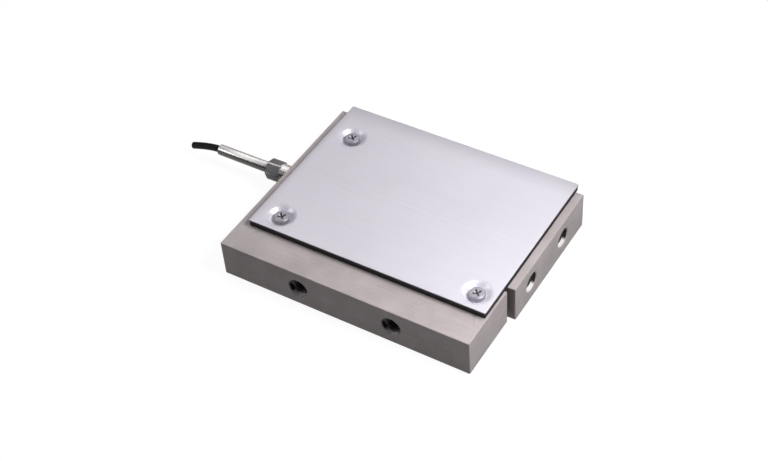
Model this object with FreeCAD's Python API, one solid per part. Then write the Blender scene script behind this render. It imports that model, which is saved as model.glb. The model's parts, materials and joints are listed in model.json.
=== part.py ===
import FreeCAD, Part
import math
import os

# Three-beam load cell in millimetres: +X along the front bar to the load end, +Y to the back, +Z up.
# The origin is on the underside, below the middle of the block and its cover.

# Spring element: outline
BLOCK_LENGTH = 165.0          # the front bar, from the gland face to its free end
BLOCK_DEPTH = 134.0           # front face to back face
BLOCK_THICKNESS = 25.0
FRONT_BAR_WIDTH = 44.0
SLOT_WIDTH = 3.0              # cut that frees the load end from the front bar
SLOT_RELIEF_RADIUS = 4.0      # drilled hole at the blind end of the cut
LOAD_END_PROUD = 3.5          # the load end stands this far past the front bar
ROOT_LENGTH = 46.0            # solid block between the gland face and the beams
LOAD_BLOCK_LENGTH = 40.0      # solid block between the beams and the load face
EDGE_BREAK = 0.5              # chamfer on the outer edges

# Spring element: the three beams and the two windows between them
OUTER_BEAM = 13.0
MIDDLE_BEAM = 12.0
FLEXURE = 5.0                 # outer beams' thickness at their hinges
WINDOW_CORNER_RADIUS = 6.0    # where the middle beam meets the end blocks

# Threaded mounting holes, drawn at the thread's outside diameter
MOUNT_THREAD = 12.0
MOUNT_MOUTH = 13.5            # countersunk mouth
MOUNT_DEPTH = 28.0
FRONT_HOLE_FROM_LEFT = 53.0
FRONT_HOLE_PITCH = 62.0
LOAD_HOLE_FROM_SLOT = 20.0
LOAD_HOLE_PITCH = 40.0

# Cover plate, with a pressed dimple under each screw that holds it off the block
COVER_THICKNESS = 1.2
COVER_STANDOFF = 3.5
COVER_LEFT_INSET = 7.0
COVER_RIGHT_INSET = 1.0
COVER_FRONT_SETBACK = 20.0
COVER_BACK_OVERHANG = 2.0
COVER_CORNER_RADIUS = 0.8
DIMPLE_FLOOR_SPARE = 0.5      # between the screw's head and the foot of the dimple's wall
DIMPLE_WALL_RUN = 3.1         # level distance from the wall's foot to its top
DIMPLE_RIM = 1.8              # flat ring of sheet around the dimple's mouth
PRESS_BREAK = 0.8             # eased bend at the dimple's mouth

# Gasket: a soft frame between the block and the cover's rim
GASKET_INSET = 0.3            # in from the cover's edge
GASKET_WIDTH = 2.0            # strip that lies on the block, clear of the dimples

# Cover screws: pan heads with a cross recess
SCREW_THREAD = 5.0
SCREW_HEAD = 9.8
SCREW_HEAD_HEIGHT = 3.4
SCREW_HEAD_SHOULDER = 0.8     # sloped edge around the head's flat top
SCREW_HOLE_CLEARANCE = 0.25   # radial, in the cover
SCREW_GRIP = 10.0             # thread in the block
RECESS_SPAN = 5.4
RECESS_WIDTH = 1.3
RECESS_DEPTH = 2.0
RECESS_TURN = 45.0            # degrees from the block's edges
SCREW_FROM_COVER_LEFT = 15.3
SCREW_FROM_COVER_RIGHT = 11.6
SCREW_FROM_COVER_FRONT = 12.0
SCREW_FROM_COVER_BACK = 25.5

# Clearances
THREAD_CLEARANCE = 0.05       # radial, between a screwed-in piece and its hole
LAY_CLEARANCE = 0.05          # between a core or lead and the face it lies on
BORE_CLEARANCE = 0.1          # radial, between the cable and the pieces it passes through

# Cable gland, on the left face
GLAND_FROM_FRONT = 78.0
GLAND_THREAD = 8.0
GLAND_THREAD_LENGTH = 8.0
SEAL_RING_THICKNESS = 1.0
SEAL_RING_DIAMETER = 11.0
BARREL_DIAMETER = 12.0
BARREL_LENGTH = 8.5
HEX_ACROSS_FLATS = 12.0
HEX_LENGTH = 10.0
HEX_CHAMFER_ANGLE = 30.0      # degrees
HEX_TURN = 15.0               # degrees from flats up, as it was tightened
BUSH_LENGTH = 4.0
SLEEVE_DIAMETER = 7.2
SLEEVE_SEATED = 5.0           # length of sleeve inside the gland
SLEEVE_EXPOSED = 38.4
SLEEVE_MOUTH_BREAK = 0.6

# Cable, from the block's face through the gland and sleeve to its bare cut end
CABLE_DIAMETER = 4.5
CABLE_BEND_PAST_SLEEVE = 7.2  # corner of the route, beyond the sleeve's mouth
CABLE_LAST_RUN = 16.0
CABLE_DROOP_ANGLE = 20.4      # degrees below level, in the last run
CABLE_BEND_RADIUS = 9.0       # twice its diameter

# Cable cores, two by two from the jacket's end to the terminal board
CORE_DIAMETER = 1.2
CORE_GAP = 0.05               # between neighbours
CORE_LANDING = 6.0            # length of the lower cores in the pocket
CORE_LANDING_STEP = 3.0       # the upper cores reach this much further

# Pocket for the terminal board, in the root block
POCKET_FROM_LEFT = 12.0
POCKET_LENGTH = 24.0
POCKET_BESIDE_GLAND = 9.0     # front wall ahead of the gland's axis
POCKET_PAST_CHANNEL = 6.0     # back wall beyond the rear lead channel
POCKET_CORNER_RADIUS = 4.0
CORE_PASSAGE = 5.0            # drilled way from the gland's thread to the pocket
CHANNEL_WIDTH = 4.0           # milled ways for the gauge leads, from the pocket to the windows
CHANNEL_SPARE = 1.6           # free depth above the leads

# Terminal board, bonded to the pocket's floor, and what is on it
BOARD_THICKNESS = 1.6
BOARD_EDGE_GAP = 1.3          # to the pocket's walls, so that square corners clear the round ones
RESISTOR_LENGTH = 8.0
RESISTOR_WIDTH = 2.2
RESISTOR_HEIGHT = 2.0
RESISTOR_PITCH = 3.2

# Strain gauges on both sides of the middle beam, with their terminals, coatings and flat leads
GAUGE_LENGTH = 10.0
GAUGE_HEIGHT = 7.0
GAUGE_THICKNESS = 0.15
COATING_MARGIN = 1.5
COATING_THICKNESS = 2.0
COATING_BREAK = 0.8           # sloped rim
GAUGE_SPARE = 0.5             # between the corner's end and the coating
TERMINAL_LENGTH = 5.0
TERMINAL_HEIGHT = 4.0
TERMINAL_THICKNESS = 0.6
TERMINAL_GAP = 0.5            # from the coating
LEAD_WIDTH = 1.2
LEAD_THICKNESS = 0.3
LEAD_GAP = 0.5                # under the near gauge's lead, and between it and the far one's above it
LEAD_LANDING_FIRST = 3.0      # near lead's foot, from the pocket's far wall
LEAD_LANDING_STEP = 4.0

# Places along X
x_left = -(BLOCK_LENGTH + LOAD_END_PROUD) / 2
x_bar_end = x_left + BLOCK_LENGTH
x_load_end = x_bar_end + LOAD_END_PROUD
x_root = x_left + ROOT_LENGTH
x_load_root = x_load_end - LOAD_BLOCK_LENGTH

# Places along Y
y_front = -(BLOCK_DEPTH + COVER_BACK_OVERHANG) / 2
y_back = y_front + BLOCK_DEPTH
y_slot_front = y_front + FRONT_BAR_WIDTH
y_slot_back = y_slot_front + SLOT_WIDTH
y_slot = (y_slot_front + y_slot_back) / 2
y_beam = (y_slot_back + y_back) / 2
y_gland = y_front + GLAND_FROM_FRONT

# Edges of the cover plate
x_cover_left = x_left + COVER_LEFT_INSET
x_cover_right = x_bar_end - COVER_RIGHT_INSET
y_cover_front = y_front + COVER_FRONT_SETBACK
y_cover_back = y_back + COVER_BACK_OVERHANG

# Places along Z
z_top = BLOCK_THICKNESS
z_middle = BLOCK_THICKNESS / 2
z_cover = z_top + COVER_STANDOFF
z_cover_top = z_cover + COVER_THICKNESS
core_pitch = CORE_DIAMETER + CORE_GAP
z_board = z_middle - core_pitch / 2 - CORE_DIAMETER / 2 - LAY_CLEARANCE
z_pocket = z_board - BOARD_THICKNESS
lead_pitch = LEAD_WIDTH + LEAD_GAP
z_channel = z_top - CHANNEL_SPARE - 2 * lead_pitch

# Two places closer than this are the same place
NEAR = 1e-6

# The two sides of the middle beam: which way each faces
SIDES = {"front": -1, "back": 1}
LEFT = FreeCAD.Vector(-1, 0, 0)
BACKWARD = FreeCAD.Vector(0, 1, 0)
UP = FreeCAD.Vector(0, 0, 1)


def point(x, y, z):
    return FreeCAD.Vector(x, y, z)


def box(low, high):
    size = high - low
    return Part.makeBox(size.x, size.y, size.z, low)


def line(start, end):
    return Part.LineSegment(start, end).toShape()


def arc(start, middle, end):
    return Part.Arc(start, middle, end).toShape()


def plate(edges, height):
    """A flat outline, raised by height."""
    return Part.Face(Part.Wire(edges)).extrude(UP * height)


def rounded_plate(low, high, radius):
    """A block with rounded upright corners."""
    solid = box(low, high)
    upright = [edge for edge in solid.Edges if abs(edge.Vertexes[0].Z - edge.Vertexes[1].Z) > NEAR]
    return solid.makeFillet(radius, upright)


def turned(profile, base, direction):
    """A turned piece: profile is (distance along the axis, radius) points, joined by straight lines."""
    corners = [point(radius, 0, along) for along, radius in profile]
    face = Part.Face(Part.makePolygon(corners + corners[:1]))
    solid = face.revolve(point(0, 0, 0), UP, 360)
    solid.Placement = FreeCAD.Placement(base, FreeCAD.Rotation(UP, direction))
    return solid


def ring_edges(solid, radius, place, axis):
    """The full circles of one radius whose centre lies at a given place along an axis."""
    found = []
    for edge in solid.Edges:
        if isinstance(edge.Curve, Part.Circle) and abs(edge.Curve.Radius - radius) < NEAR:
            if abs(edge.Curve.Center.dot(axis) - place) < NEAR:
                found.append(edge)
    return found


def bent_path(corners, radius):
    """Straight runs between corners, joined by tangent arcs of one radius."""
    edges = []
    start = corners[0]
    for index in range(1, len(corners) - 1):
        corner = corners[index]
        back = (corners[index - 1] - corner).normalize()
        ahead = (corners[index + 1] - corner).normalize()
        half_turn = (math.pi - back.getAngle(ahead)) / 2
        reach = radius * math.tan(half_turn)
        centre_way = (back + ahead).normalize()
        nearest = corner + centre_way * (radius / math.cos(half_turn) - radius)
        edges.append(line(start, corner + back * reach))
        edges.append(arc(corner + back * reach, nearest, corner + ahead * reach))
        start = corner + ahead * reach
    edges.append(line(start, corners[-1]))
    return Part.Wire(edges)


def tube_along(path, corners, diameter):
    """A round solid that follows a path from its first corner."""
    first_way = (corners[1] - corners[0]).normalize()
    section = Part.Wire(Part.makeCircle(diameter / 2, corners[0], first_way))
    return path.makePipeShell([section], True, True)


def threaded_hole(mouth, inward):
    """A blind threaded hole with a countersunk mouth and a flat end."""
    radius = MOUNT_THREAD / 2
    sink = MOUNT_MOUTH / 2 - radius
    profile = [
        (0, 0),
        (0, MOUNT_MOUTH / 2),
        (sink, radius),
        (MOUNT_DEPTH, radius),
        (MOUNT_DEPTH, 0),
    ]
    return turned(profile, mouth, inward)


def block_outline():
    """Plan of the front bar, root block and load end, with the slot cut in from the right."""
    reach = math.sqrt(SLOT_RELIEF_RADIUS ** 2 - (SLOT_WIDTH / 2) ** 2)
    corners = [
        point(x_root + reach, y_slot_back, 0),
        point(x_load_end, y_slot_back, 0),
        point(x_load_end, y_back, 0),
        point(x_left, y_back, 0),
        point(x_left, y_front, 0),
        point(x_bar_end, y_front, 0),
        point(x_bar_end, y_slot_front, 0),
        point(x_root + reach, y_slot_front, 0),
    ]
    edges = [line(start, end) for start, end in zip(corners, corners[1:])]
    edges.append(arc(corners[-1], point(x_root - SLOT_RELIEF_RADIUS, y_slot, 0), corners[0]))
    return edges


def window_outline(side):
    """Plan of one window: lobes thin the outer beam to hinges, and the other two corners are round."""
    lobe = OUTER_BEAM - FLEXURE
    radius = WINDOW_CORNER_RADIUS
    y_outer = {-1: y_slot_back + OUTER_BEAM, 1: y_back - OUTER_BEAM}[side]
    y_inner = y_beam + side * MIDDLE_BEAM / 2
    y_turn = y_inner + side * radius
    corner_short = radius * (1 - math.sqrt(0.5))
    return [
        arc(
            point(x_root, y_outer, 0),
            point(x_root + lobe, y_outer + side * lobe, 0),
            point(x_root + 2 * lobe, y_outer, 0),
        ),
        line(point(x_root + 2 * lobe, y_outer, 0), point(x_load_root - 2 * lobe, y_outer, 0)),
        arc(
            point(x_load_root - 2 * lobe, y_outer, 0),
            point(x_load_root - lobe, y_outer + side * lobe, 0),
            point(x_load_root, y_outer, 0),
        ),
        line(point(x_load_root, y_outer, 0), point(x_load_root, y_turn, 0)),
        arc(
            point(x_load_root, y_turn, 0),
            point(x_load_root - corner_short, y_inner + side * corner_short, 0),
            point(x_load_root - radius, y_inner, 0),
        ),
        line(point(x_load_root - radius, y_inner, 0), point(x_root + radius, y_inner, 0)),
        arc(
            point(x_root + radius, y_inner, 0),
            point(x_root + corner_short, y_inner + side * corner_short, 0),
            point(x_root, y_turn, 0),
        ),
        line(point(x_root, y_turn, 0), point(x_root, y_outer, 0)),
    ]


def pocket_limits():
    """Plan corners of the terminal board's pocket."""
    x_near = x_left + POCKET_FROM_LEFT
    y_near = y_gland - POCKET_BESIDE_GLAND
    y_far = y_beam + MIDDLE_BEAM / 2 + CHANNEL_WIDTH + POCKET_PAST_CHANNEL
    return x_near, y_near, x_near + POCKET_LENGTH, y_far


def cover_screw_places():
    """Where the three cover screws enter the block's top: all on the fixed side."""
    x_first = x_cover_left + SCREW_FROM_COVER_LEFT
    y_first = y_cover_front + SCREW_FROM_COVER_FRONT
    return [
        point(x_first, y_first, z_top),
        point(x_cover_right - SCREW_FROM_COVER_RIGHT, y_first, z_top),
        point(x_first, y_cover_back - SCREW_FROM_COVER_BACK, z_top),
    ]


def board_limits():
    """Plan corners of the terminal board, inside its pocket."""
    x_near, y_near, x_far, y_far = pocket_limits()
    gap = BOARD_EDGE_GAP
    return x_near + gap, y_near + gap, x_far - gap, y_far - gap


def make_spring_element():
    """One machined block: fixed front bar and root, three beams, and the load end."""
    solid = plate(block_outline(), BLOCK_THICKNESS)
    slot_end = 2 * SLOT_RELIEF_RADIUS
    outer_edges = [edge for edge in solid.Edges if abs(edge.CenterOfMass.x - x_root) > slot_end]
    solid = solid.makeChamfer(EDGE_BREAK, outer_edges)
    for side in SIDES.values():
        solid = solid.cut(plate(window_outline(side), BLOCK_THICKNESS))
        face_y = y_beam + side * MIDDLE_BEAM / 2
        channel_ends = sorted([face_y, face_y + side * CHANNEL_WIDTH])
        channel = box(
            point(pocket_limits()[2] - POCKET_CORNER_RADIUS, channel_ends[0], z_channel),
            point(x_root + WINDOW_CORNER_RADIUS, channel_ends[1], z_top),
        )
        solid = solid.cut(channel)
    for index in range(2):
        x_hole = x_left + FRONT_HOLE_FROM_LEFT + index * FRONT_HOLE_PITCH
        y_hole = y_slot_back + LOAD_HOLE_FROM_SLOT + index * LOAD_HOLE_PITCH
        solid = solid.cut(threaded_hole(point(x_hole, y_front, z_middle), BACKWARD))
        solid = solid.cut(threaded_hole(point(x_load_end, y_hole, z_middle), LEFT))
    x_near, y_near, x_far, y_far = pocket_limits()
    pocket = rounded_plate(
        point(x_near, y_near, z_pocket), point(x_far, y_far, z_top), POCKET_CORNER_RADIUS
    )
    gland_face = point(x_left, y_gland, z_middle)
    solid = solid.cut(pocket)
    solid = solid.cut(
        Part.makeCylinder(GLAND_THREAD / 2 + THREAD_CLEARANCE, GLAND_THREAD_LENGTH, gland_face, -LEFT)
    )
    solid = solid.cut(Part.makeCylinder(CORE_PASSAGE / 2, POCKET_FROM_LEFT, gland_face, -LEFT))
    for place in cover_screw_places():
        solid = solid.cut(Part.makeCylinder(SCREW_THREAD / 2 + THREAD_CLEARANCE, SCREW_GRIP, place, -UP))
    return solid


def make_cover_plate():
    """Thin sheet with a pressed dimple and a screw hole at each fixing."""
    low = point(x_cover_left, y_cover_front, z_cover)
    high = point(x_cover_right, y_cover_back, z_cover_top)
    solid = rounded_plate(low, high, COVER_CORNER_RADIUS)
    hole = SCREW_THREAD / 2 + SCREW_HOLE_CLEARANCE
    floor = SCREW_HEAD / 2 + DIMPLE_FLOOR_SPARE
    mouth = floor + DIMPLE_WALL_RUN
    slope = math.atan2(COVER_STANDOFF, DIMPLE_WALL_RUN)
    mitre = COVER_THICKNESS * math.tan(slope / 2)
    rim = mouth + mitre + DIMPLE_RIM
    profile = [
        (0, hole),
        (0, floor + mitre),
        (COVER_STANDOFF, mouth + mitre),
        (COVER_STANDOFF, rim),
        (COVER_STANDOFF + COVER_THICKNESS, rim),
        (COVER_STANDOFF + COVER_THICKNESS, mouth),
        (COVER_THICKNESS, floor),
        (COVER_THICKNESS, hole),
    ]
    for place in cover_screw_places():
        dimple = turned(profile, place, UP)
        dimple = dimple.makeChamfer(PRESS_BREAK, ring_edges(dimple, mouth, z_cover_top, UP))
        solid = solid.cut(Part.makeCylinder(rim, COVER_THICKNESS, point(place.x, place.y, z_cover), UP))
        solid = solid.fuse(dimple)
    return solid.removeSplitter()


def make_cover_gasket():
    """Soft frame that follows the cover's outline and fills the gap below its rim."""
    outline_corner = point(GASKET_INSET, GASKET_INSET, 0)
    low = point(x_cover_left, y_cover_front, z_top) + outline_corner
    high = point(x_cover_right, y_cover_back, z_cover) - outline_corner
    hollow = box(
        point(low.x + GASKET_WIDTH, low.y + GASKET_WIDTH, z_top),
        point(high.x - GASKET_WIDTH, y_back - GASKET_WIDTH, z_cover),
    )
    return box(low, high).cut(hollow)


def recess_wing(top, length_x, length_y):
    """One straight-sided wing of a cross recess, sunk from the middle of a head's top."""
    corner = point(length_x / 2, length_y / 2, 0)
    return box(top - corner - UP * RECESS_DEPTH, top + corner)


def make_pan_screw(seat):
    """A pan head with a cross recess, on a plain shank; seat is the middle of the face under the head."""
    shank_length = COVER_THICKNESS + SCREW_GRIP
    profile = [
        (-shank_length, 0),
        (-shank_length, SCREW_THREAD / 2),
        (0, SCREW_THREAD / 2),
        (0, SCREW_HEAD / 2),
        (SCREW_HEAD_HEIGHT - SCREW_HEAD_SHOULDER, SCREW_HEAD / 2),
        (SCREW_HEAD_HEIGHT, SCREW_HEAD / 2 - SCREW_HEAD_SHOULDER),
        (SCREW_HEAD_HEIGHT, 0),
    ]
    top = seat + UP * SCREW_HEAD_HEIGHT
    recess = recess_wing(top, RECESS_SPAN, RECESS_WIDTH)
    recess = recess.fuse(recess_wing(top, RECESS_WIDTH, RECESS_SPAN)).removeSplitter()
    recess.rotate(top, UP, RECESS_TURN)
    return turned(profile, seat, UP).cut(recess)


def make_cover_screws():
    seats = [place + UP * COVER_THICKNESS for place in cover_screw_places()]
    return Part.makeCompound([make_pan_screw(seat) for seat in seats])


def gland_point(along):
    """A point on the gland's axis, at a distance out from the block's left face."""
    return point(x_left - along, y_gland, z_middle)


barrel_start = SEAL_RING_THICKNESS
hex_start = barrel_start + BARREL_LENGTH
hex_end = hex_start + HEX_LENGTH
sleeve_start = hex_end - SLEEVE_SEATED
bush_start = sleeve_start - BUSH_LENGTH
sleeve_end = hex_end + SLEEVE_EXPOSED
cable_radius = CABLE_DIAMETER / 2
cable_bore = cable_radius + BORE_CLEARANCE


def make_gland_seal_ring():
    inner = GLAND_THREAD / 2 + THREAD_CLEARANCE
    profile = [
        (0, inner),
        (0, SEAL_RING_DIAMETER / 2),
        (SEAL_RING_THICKNESS, SEAL_RING_DIAMETER / 2),
        (SEAL_RING_THICKNESS, inner),
    ]
    return turned(profile, gland_point(0), LEFT)


def make_gland_body():
    """Threaded spigot, round barrel and chamfered hexagon in one piece, bored for bush and sleeve."""
    barrel = BARREL_DIAMETER / 2
    profile = [
        (-GLAND_THREAD_LENGTH, 0),
        (-GLAND_THREAD_LENGTH, GLAND_THREAD / 2),
        (barrel_start, GLAND_THREAD / 2),
        (barrel_start, barrel),
        (hex_start, barrel),
        (hex_start, 0),
    ]
    solid = turned(profile, gland_point(0), LEFT)
    corner = HEX_ACROSS_FLATS / 2 / math.cos(math.radians(30))
    corners = []
    for index in range(7):
        angle = math.radians(60 * index + HEX_TURN)
        reach = point(0, corner * math.cos(angle), corner * math.sin(angle))
        corners.append(gland_point(hex_start) + reach)
    hexagon = Part.Face(Part.makePolygon(corners)).extrude(LEFT * HEX_LENGTH)
    flat = HEX_ACROSS_FLATS / 2
    fall = (corner - flat) * math.tan(math.radians(HEX_CHAMFER_ANGLE))
    chamfer_profile = [
        (hex_start, 0),
        (hex_start, corner),
        (hex_end - fall, corner),
        (hex_end, flat),
        (hex_end, 0),
    ]
    hexagon = hexagon.common(turned(chamfer_profile, gland_point(0), LEFT))
    solid = solid.fuse(hexagon)
    through = GLAND_THREAD_LENGTH + hex_end
    solid = solid.cut(Part.makeCylinder(cable_bore, through, gland_point(-GLAND_THREAD_LENGTH), LEFT))
    seat_radius = SLEEVE_DIAMETER / 2 + THREAD_CLEARANCE
    return solid.cut(Part.makeCylinder(seat_radius, hex_end - bush_start, gland_point(bush_start), LEFT))


def make_gland_bush():
    """Rubber bush that grips the cable, squeezed between the gland and the sleeve's end."""
    profile = [
        (bush_start, cable_radius),
        (bush_start, SLEEVE_DIAMETER / 2),
        (sleeve_start, SLEEVE_DIAMETER / 2),
        (sleeve_start, cable_radius),
    ]
    return turned(profile, gland_point(0), LEFT)


def make_gland_sleeve():
    """Long smooth strain-relief sleeve, with a broken edge at its mouth."""
    outer = SLEEVE_DIAMETER / 2
    profile = [
        (sleeve_start, cable_bore),
        (sleeve_start, outer),
        (sleeve_end - SLEEVE_MOUTH_BREAK, outer),
        (sleeve_end, outer - SLEEVE_MOUTH_BREAK),
        (sleeve_end, cable_bore),
    ]
    return turned(profile, gland_point(0), LEFT)


def cable_route():
    """Straight through the gland and sleeve, then drooping to the cut end."""
    droop = math.radians(CABLE_DROOP_ANGLE)
    corner = gland_point(sleeve_end + CABLE_BEND_PAST_SLEEVE)
    last_way = point(-math.cos(droop), 0, -math.sin(droop))
    return [gland_point(0), corner, corner + last_way * CABLE_LAST_RUN]


def make_cable():
    corners = cable_route()
    path = bent_path(corners, CABLE_BEND_RADIUS)
    solid = tube_along(path, corners, CABLE_DIAMETER)
    straight_volume = math.pi * cable_radius ** 2 * path.Length
    print("cable length", round(path.Length, 1))
    print("cable volume against section times length", round(solid.Volume / straight_volume, 4))
    return solid


def make_core_wires():
    """Four insulated cores from the jacket's end through the passage, two on the board and two on those."""
    wires = {}
    half = core_pitch / 2
    for name, side, level in (("red", -1, -1), ("black", 1, -1), ("green", -1, 1), ("white", 1, 1)):
        start = gland_point(0) + point(0, side * half, level * half)
        length = POCKET_FROM_LEFT + CORE_LANDING
        if level > 0:
            length += CORE_LANDING_STEP
        wires["core_wire_" + name] = Part.makeCylinder(CORE_DIAMETER / 2, length, start, -LEFT)
    return wires


def make_terminal_board():
    x_near, y_near, x_far, y_far = board_limits()
    return box(point(x_near, y_near, z_pocket), point(x_far, y_far, z_board))


def make_resistors():
    """Bridge trim resistors in a row on the board, between the front and back leads."""
    x_near, y_near, x_far, y_far = board_limits()
    x_middle = (x_near + x_far) / 2
    resistors = {}
    for index, name in enumerate(("span_resistor_front", "zero_resistor", "span_resistor_back")):
        y_middle = y_beam + (index - 1) * RESISTOR_PITCH
        low = point(x_middle - RESISTOR_LENGTH / 2, y_middle - RESISTOR_WIDTH / 2, z_board)
        resistors[name] = box(low, low + point(RESISTOR_LENGTH, RESISTOR_WIDTH, RESISTOR_HEIGHT))
    return resistors


def slab_on_beam(x_middle, side, length, height, thickness):
    """A flat piece bonded to one side of the middle beam, at half its height."""
    y_face = y_beam + side * MIDDLE_BEAM / 2
    y_ends = sorted([y_face, y_face + side * thickness])
    return box(
        point(x_middle - length / 2, y_ends[0], z_middle - height / 2),
        point(x_middle + length / 2, y_ends[1], z_middle + height / 2),
    )


def flat_lead(side, x_start, z_start, x_foot, z_run):
    """A flat lead beside the middle beam: up to its run, along into the pocket, down to the board."""
    half = LEAD_WIDTH / 2
    y_lead = y_beam + side * (MIDDLE_BEAM / 2 + LAY_CLEARANCE)
    outline = [
        (x_start + half, z_start),
        (x_start + half, z_run + half),
        (x_foot - half, z_run + half),
        (x_foot - half, z_board),
        (x_foot + half, z_board),
        (x_foot + half, z_run - half),
        (x_start - half, z_run - half),
        (x_start - half, z_start),
    ]
    corners = [point(x, y_lead, z) for x, z in outline]
    return Part.Face(Part.makePolygon(corners + corners[:1])).extrude(BACKWARD * side * LEAD_THICKNESS)


def make_gauge_set(side, near_root):
    """One strain gauge with its coating, terminal and lead; near_root says which end it is at."""
    coating_length = GAUGE_LENGTH + 2 * COATING_MARGIN
    coating_height = GAUGE_HEIGHT + 2 * COATING_MARGIN
    from_end = WINDOW_CORNER_RADIUS + GAUGE_SPARE + coating_length / 2
    to_terminal = coating_length / 2 + TERMINAL_GAP + TERMINAL_LENGTH / 2
    z_run = z_channel + LEAD_GAP + LEAD_WIDTH / 2
    x_foot = pocket_limits()[2] - LEAD_LANDING_FIRST
    if near_root:
        x_gauge = x_root + from_end
        x_terminal = x_gauge + to_terminal
    else:
        x_gauge = x_load_root - from_end
        x_terminal = x_gauge - to_terminal
        z_run += lead_pitch
        x_foot -= LEAD_LANDING_STEP
    gauge = slab_on_beam(x_gauge, side, GAUGE_LENGTH, GAUGE_HEIGHT, GAUGE_THICKNESS)
    coating = slab_on_beam(x_gauge, side, coating_length, coating_height, COATING_THICKNESS)
    y_outside = y_beam + side * (MIDDLE_BEAM / 2 + COATING_THICKNESS)
    rim = [edge for edge in coating.Edges if all(abs(v.Y - y_outside) < NEAR for v in edge.Vertexes)]
    coating = coating.makeChamfer(COATING_BREAK, rim).cut(gauge)
    terminal = slab_on_beam(x_terminal, side, TERMINAL_LENGTH, TERMINAL_HEIGHT, TERMINAL_THICKNESS)
    lead = flat_lead(side, x_terminal, z_middle + TERMINAL_HEIGHT / 2, x_foot, z_run)
    return {"strain_gauge": gauge, "gauge_coating": coating, "gauge_terminal": terminal, "gauge_lead": lead}


def make_nodes():
    nodes = {
        "spring_element": make_spring_element(),
        "cover_plate": make_cover_plate(),
        "cover_gasket": make_cover_gasket(),
        "cover_screws": make_cover_screws(),
        "gland_seal_ring": make_gland_seal_ring(),
        "gland_body": make_gland_body(),
        "gland_bush": make_gland_bush(),
        "gland_sleeve": make_gland_sleeve(),
        "cable": make_cable(),
        "terminal_board": make_terminal_board(),
    }
    nodes.update(make_resistors())
    nodes.update(make_core_wires())
    for side_name, side in SIDES.items():
        for end_name, near_root in (("root", True), ("load", False)):
            for piece, solid in make_gauge_set(side, near_root).items():
                nodes[f"{piece}_{side_name}_{end_name}"] = solid
    return nodes


os.makedirs("parts", exist_ok=True)
for node_name, node_shape in make_nodes().items():
    node_shape.exportStep(f"parts/{node_name}.step")
    print(node_name, node_shape.isValid(), len(node_shape.Solids), round(node_shape.Volume, 2))
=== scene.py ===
import json
import math

import bpy
from mathutils import Matrix, Vector


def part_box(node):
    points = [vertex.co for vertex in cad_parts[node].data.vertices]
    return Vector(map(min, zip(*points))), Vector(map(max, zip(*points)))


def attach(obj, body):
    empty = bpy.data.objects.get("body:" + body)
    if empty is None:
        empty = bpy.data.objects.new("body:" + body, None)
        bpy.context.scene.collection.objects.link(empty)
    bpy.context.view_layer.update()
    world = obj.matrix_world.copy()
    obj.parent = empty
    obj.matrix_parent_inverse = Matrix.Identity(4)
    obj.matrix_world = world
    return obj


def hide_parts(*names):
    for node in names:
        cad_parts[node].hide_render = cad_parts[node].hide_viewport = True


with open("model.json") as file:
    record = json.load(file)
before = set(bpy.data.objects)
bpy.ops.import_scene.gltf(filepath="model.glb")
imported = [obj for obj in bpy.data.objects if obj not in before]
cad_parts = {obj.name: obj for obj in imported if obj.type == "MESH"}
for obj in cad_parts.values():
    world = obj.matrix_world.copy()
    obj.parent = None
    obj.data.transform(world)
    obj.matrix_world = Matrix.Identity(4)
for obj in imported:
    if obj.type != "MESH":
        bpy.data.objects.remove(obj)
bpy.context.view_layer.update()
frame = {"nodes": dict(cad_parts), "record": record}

# Sizes, in metres; angles are in radians where a heading doesn't say degrees
MM = 0.001
MERGE_DISTANCE = 0.001 * MM

# Smoothing and rounding, in degrees and steps
SMOOTH_ANGLE = 35
BLOCK_SMOOTH_ANGLE = 60
RIDGE_SMOOTH_ANGLE = 20
FORMED_SMOOTH_ANGLE = 40
HEX_SMOOTH_ANGLE = 30
ROUND_ANGLE = 40
SHEET_ROUND_ANGLE = 60
SCREW_ROUND_ANGLE = 50
FINE_ROUND_STEPS = 4
COARSE_ROUND_STEPS = 2
TURNED_SIDES = 64

# Machined block, its slot and its threaded holes
SLOT_BACK = -21.0 * MM
BORE_DEPTH = 28.5 * MM
THREAD_PITCH = 1.75 * MM
THREAD_FOOT_SHARE = 0.9
THREAD_DEPTH = 0.95 * MM
THREAD_ROOT = 0.05 * MM
THREAD_TURNS = 13
THREAD_STEPS = 40

# Sheet cover with its pressed dimples
SHEET_THICKNESS = 1.2 * MM
SHEET_CORNER_RADIUS = 0.8 * MM
SHEET_CORNER_STEPS = 4
SHEET_EDGE_ROUND = 0.2 * MM
DIMPLE_MOUTH_RADIUS = 8.5 * MM
DIMPLE_FLOOR_RADIUS = 5.4 * MM
DIMPLE_MOUTH_BEND = 3.0 * MM
DIMPLE_FOOT_BEND = 1.2 * MM
DIMPLE_HOLE_RADIUS = 2.75 * MM
DIMPLE_BEND_STEPS = 7
DIMPLE_PATCH = 11.0 * MM
DIMPLE_SIDES = 64

# Gasket
GASKET_EDGE_ROUND = 0.4 * MM

# Pan screws with a cross recess
SCREW_HEAD_RADIUS = 4.9 * MM
SCREW_HEAD_HEIGHT = 3.4 * MM
SCREW_CROWN_STEPS = 6
SCREW_CROWN_RISE = 0.2 * MM
SCREW_SHOULDER = 1.1 * MM
SCREW_TOP_RADIUS = 0.6 * MM
SCREW_THREAD_RADIUS = 2.5 * MM
SCREW_CORE_RADIUS = 2.1 * MM
SCREW_THREAD_PITCH = 0.8 * MM
SCREW_EDGE_ROUND = 0.12 * MM
SCREW_SIDES = 48
RECESS_SPAN = 5.4 * MM
RECESS_WIDTH = 1.3 * MM
RECESS_DEPTH = 2.0 * MM
RECESS_FLOOR_SPARE = 0.2 * MM
RECESS_TAPER = 0.55
RECESS_TURN = math.radians(45)
WELL_RADIUS = 1.9 * MM
WELL_TIP_RADIUS = 0.19 * MM
WELL_DEPTH = 1.5 * MM
WELL_SIDES = 32
WELL_LEAN_LOW = 0.6
WELL_LEAN_HIGH = 0.8

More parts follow.
